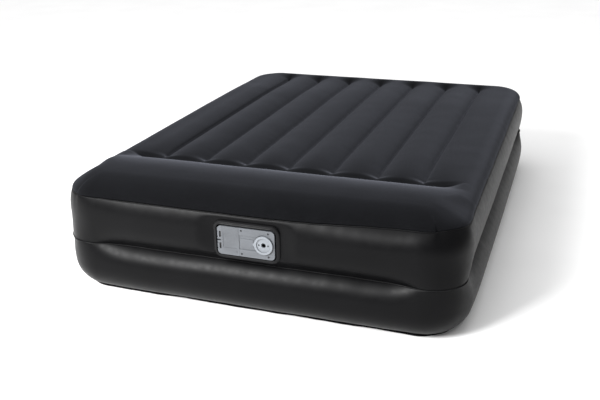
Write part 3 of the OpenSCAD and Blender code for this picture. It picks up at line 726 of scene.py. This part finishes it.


# ------------------------------------------------------------------ beams: thin film webs
def webs(name, lines, z0, z1, node):
    """lines: (start, end) plan points of each web. Each is a slack film, pinched in between its welds."""
    verts, faces, area = [], [], 0.0
    nz, nl = 9, 90
    for (x0, y0), (x1, y1) in lines:
        first = len(verts)
        length = math.hypot(x1 - x0, y1 - y0)
        nx, ny = -(y1 - y0) / length, (x1 - x0) / length
        for i in range(nl + 1):
            u = i / nl
            for k in range(nz + 1):
                t = k / nz
                w = 0.004 * math.sin(math.pi * t) * noise.noise(Vector((u * length * 7, x0 * 3 + 0.3, t)))
                verts.append((x0 + (x1 - x0) * u + nx * w, y0 + (y1 - y0) * u + ny * w, z0 + (z1 - z0) * t))
        for i in range(nl):
            for k in range(nz):
                a = first + i * (nz + 1) + k
                faces.append((a, a + nz + 1, a + nz + 2, a + 1))
        area += length * (z1 - z0)
    ob = mesh_object(name, verts, faces)
    sol = ob.modifiers.new("skin", "SOLIDIFY")
    sol.thickness = 0.0006
    sol.offset = 0
    put(ob, FILM)
    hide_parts(node)
    return ob


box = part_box("channel_beams")
xs = [(i - 4) * PITCH for i in range(1, 8)]
webs("channel_webs", [((x, box[0][1]), (x, box[1][1])) for x in xs], box[0][2], box[1][2] - 0.004, "channel_beams")
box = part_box("lower_beams")
webs("lower_webs", [((x, box[0][1]), (x, box[1][1])) for x in xs], box[0][2] + 0.002, box[1][2] - 0.002, "lower_beams")
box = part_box("pillow_beam")
webs("pillow_web", [((box[0][0], PILLOW_Y), (box[1][0], PILLOW_Y))], box[0][2], box[1][2] - 0.002, "pillow_beam")

# ------------------------------------------------------------------ painted shade: dark pads put behind the windows round the hinge lugs to stand in for the shade there
verts, faces = [], []
for s_ in (-1, 1):
    zc = PZ + s_ * 0.021
    for xa, xb, za, zb in ((-0.1038, -0.0902, -0.0110, -0.0082), (-0.1038, -0.0902, 0.0082, 0.0110), (-0.0970, -0.0902, -0.0082, 0.0082)):
        n0 = len(verts)
        for d in (-0.0018 + 0.0056, 0.0042):
            verts += [(PX + xa, PY + d, zc + za), (PX + xb, PY + d, zc + za), (PX + xb, PY + d, zc + zb), (PX + xa, PY + d, zc + zb)]
        faces += [tuple(n0 + i for i in f) for f in ((0, 1, 2, 3), (7, 6, 5, 4), (0, 4, 5, 1), (1, 5, 6, 2), (2, 6, 7, 3), (3, 7, 4, 0))]
shade_pads = mesh_object("hinge_window_shade_pads", verts, faces, False)
bev = shade_pads.modifiers.new("edge", "BEVEL")
bev.width = 0.0001
bev.segments = 2
put(shade_pads, RUBBER)

# ------------------------------------------------------------------ floor, light, camera
floor_v = [(-14, -10, 0), (14, -10, 0), (14, 18, 0), (-14, 18, 0)]
floor = mesh_object("floor", floor_v, [(0, 1, 2, 3)], False)
fm, nt, b = new_mat("floor_pale")
vv = coords(nt)
fn = noise_node(nt, vv, 2.0, 2, 0.5)
nt.links.new(ramp(nt, fn, [(0.3, (0.90, 0.90, 0.90)), (0.7, (0.93, 0.93, 0.93))]), b.inputs["Base Color"])
b.inputs["Roughness"].default_value = 0.7
b.inputs["Specular IOR Level"].default_value = 0.2
floor.data.materials.append(fm)

world = bpy.data.worlds.new("studio")
bpy.context.scene.world = world
world.use_nodes = True
wn = world.node_tree
bg = wn.nodes["Background"]
bg.inputs["Color"].default_value = (1, 1, 1, 1)
bg.inputs["Strength"].default_value = 0.46


def area(name, loc, target, size, power, size_y=None):
    li = bpy.data.lights.new(name, "AREA")
    li.shape = "RECTANGLE"
    li.size = size
    li.size_y = size_y or size
    li.energy = power
    ob = bpy.data.objects.new(name, li)
    bpy.context.collection.objects.link(ob)
    ob.location = loc
    ob.rotation_euler = (Vector(target) - Vector(loc)).to_track_quat("-Z", "Y").to_euler()
    return ob


sun = bpy.data.lights.new("overhead", "SUN")
sun.energy = 2.0
sun.angle = math.radians(80)
sun_ob = bpy.data.objects.new("overhead", sun)
bpy.context.collection.objects.link(sun_ob)
sun_ob.rotation_euler = Vector((-0.28, -0.40, 1.1)).to_track_quat("Z", "Y").to_euler()
area("key", (-2.0, -4.2, 2.9), (-0.3, -0.9, 0.2), 1.6, 440)

cam = bpy.data.cameras.new("cam")
cam.sensor_width = 36
cam.lens = 807.74 / 600 * 36
cam_ob = bpy.data.objects.new("cam", cam)
bpy.context.collection.objects.link(cam_ob)
fwd = Vector((-0.315711, 0.876528, -0.363351)).normalized()
right = Vector((0.942782, 0.333036, -0.015773)).normalized()
up = right.cross(fwd).normalized()
right = fwd.cross(up).normalized()
rot = Matrix((right, up, -fwd)).transposed()
cam_ob.matrix_world = Matrix.Translation((1.02467, -3.27702, 1.40201)) @ rot.to_4x4()
cam.clip_end = 60
bpy.context.scene.camera = cam_ob
bpy.context.scene.view_settings.view_transform = "Standard"
bpy.context.scene.view_settings.look = "None"
